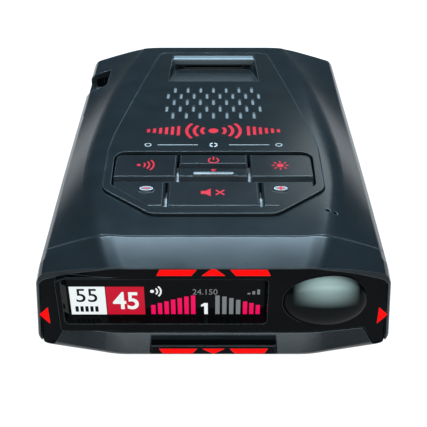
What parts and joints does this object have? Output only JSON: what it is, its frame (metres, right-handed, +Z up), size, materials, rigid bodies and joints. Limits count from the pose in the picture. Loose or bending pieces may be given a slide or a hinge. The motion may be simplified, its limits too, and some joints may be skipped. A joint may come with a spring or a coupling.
{
  "type": "radar detector",
  "caption": "Low matte black windscreen radar detector: raised key panel, speaker slots, mount dock, hooded display end with red arrow lights and a domed laser lens.",
  "frame": {"origin": "centre of the footprint, on the surface that the case lies on", "axes": "+Z up, -Y out of the display end towards the driver, +Y out of the antenna end towards the road, +X to the right as the driver sees it"},
  "size_m": [0.0906, 0.138, 0.0346],
  "materials": {
    "case_plastic": "fine matte texture",
    "panel_plastic": "fine matte texture",
    "key_plastic": "soft matte",
    "mask_gloss": "high gloss",
    "ir_window": "high gloss, passes infrared",
    "red_light_guide": "lit red",
    "display_glass": "high gloss",
    "dome_lens": "polished",
    "lens_plastic": "polished",
    "bar_steel": "brushed nickel",
    "magnet_steel": "nickel plated",
    "screw_steel": "black oxide",
    "tin_steel": "tin plated",
    "speaker_steel": "zinc plated",
    "cast_metal": "as cast",
    "circuit_board": "solder mask",
    "silicone": "silicone",
    "chip_plastic": "moulded epoxy",
    "ceramic": "ceramic",
    "capacitor_can": "drawn can",
    "speaker_cloth": "woven",
    "speaker_paper": "pressed paper",
    "foam": "foam",
    "socket_plastic": "moulded",
    "gold_wire": "gold plated",
    "ribbon_film": "polyimide"
  },
  "bodies": {
    "case": {"top_cover": "case_plastic", "bottom_cover": "case_plastic", "rear_bezel": "case_plastic", "control_panel": "panel_plastic", "mount_dock": "panel_plastic", "face_mask": "mask_gloss", "lower_light_bar": "mask_gloss", "front_window": "ir_window", "upper_alert_lights": "red_light_guide", "lower_alert_lights": "red_light_guide", "left_alert_light": "red_light_guide", "right_alert_light": "red_light_guide", "display_window": "display_glass", "rear_laser_dome": "dome_lens", "front_laser_lenses": "lens_plastic", "dock_strike_bar": "bar_steel", "dock_magnets": "magnet_steel", "speaker_magnet": "magnet_steel", "case_screws": "screw_steel", "board_screws": "screw_steel", "shield_cover": "tin_steel", "usb_port": "tin_steel", "speaker_frame": "speaker_steel", "front_horn": "cast_metal", "rear_horn": "cast_metal", "main_board": "circuit_board", "key_board": "circuit_board", "display_board": "circuit_board", "key_pad": "silicone", "key_switches": "chip_plastic", "light_sensor": "chip_plastic", "microphone": "chip_plastic", "processor": "chip_plastic", "display_module": "chip_plastic", "rear_laser_sensor": "chip_plastic", "gps_patch": "ceramic", "filter_capacitors": "capacitor_can", "speaker_mesh": "speaker_cloth", "speaker_cone": "speaker_paper", "speaker_gasket": "foam", "power_jack": "socket_plastic", "audio_jack": "socket_plastic", "power_jack_contacts": "gold_wire", "display_ribbon": "ribbon_film", "keypad_ribbon": "ribbon_film"},
    "sensitivity_key": {"sensitivity_key": "key_plastic"},
    "power_key": {"power_key": "key_plastic"},
    "mark_key": {"mark_key": "key_plastic"},
    "brightness_key": {"brightness_key": "key_plastic"},
    "volume_down_key": {"volume_down_key": "key_plastic"},
    "mute_key": {"mute_key": "key_plastic"},
    "volume_up_key": {"volume_up_key": "key_plastic"}
  },
  "joints": [
    {"name": "sensitivity_key_press", "type": "slide", "parent": "case", "child": "sensitivity_key", "axis": [0, 0, -1], "range_m": [0, 0.0006], "stiffness_N_per_m": 2000},
    {"name": "power_key_press", "type": "slide", "parent": "case", "child": "power_key", "axis": [0, 0, -1], "range_m": [0, 0.0006], "stiffness_N_per_m": 2000},
    {"name": "mark_key_press", "type": "slide", "parent": "case", "child": "mark_key", "axis": [0, 0, -1], "range_m": [0, 0.0006], "stiffness_N_per_m": 2000},
    {"name": "brightness_key_press", "type": "slide", "parent": "case", "child": "brightness_key", "axis": [0, 0, -1], "range_m": [0, 0.0006], "stiffness_N_per_m": 2000},
    {"name": "volume_down_key_press", "type": "slide", "parent": "case", "child": "volume_down_key", "axis": [0, 0, -1], "range_m": [0, 0.0006], "stiffness_N_per_m": 2000},
    {"name": "mute_key_press", "type": "slide", "parent": "case", "child": "mute_key", "axis": [0, 0, -1], "range_m": [0, 0.0006], "stiffness_N_per_m": 2000},
    {"name": "volume_up_key_press", "type": "slide", "parent": "case", "child": "volume_up_key", "axis": [0, 0, -1], "range_m": [0, 0.0006], "stiffness_N_per_m": 2000}
  ]
}
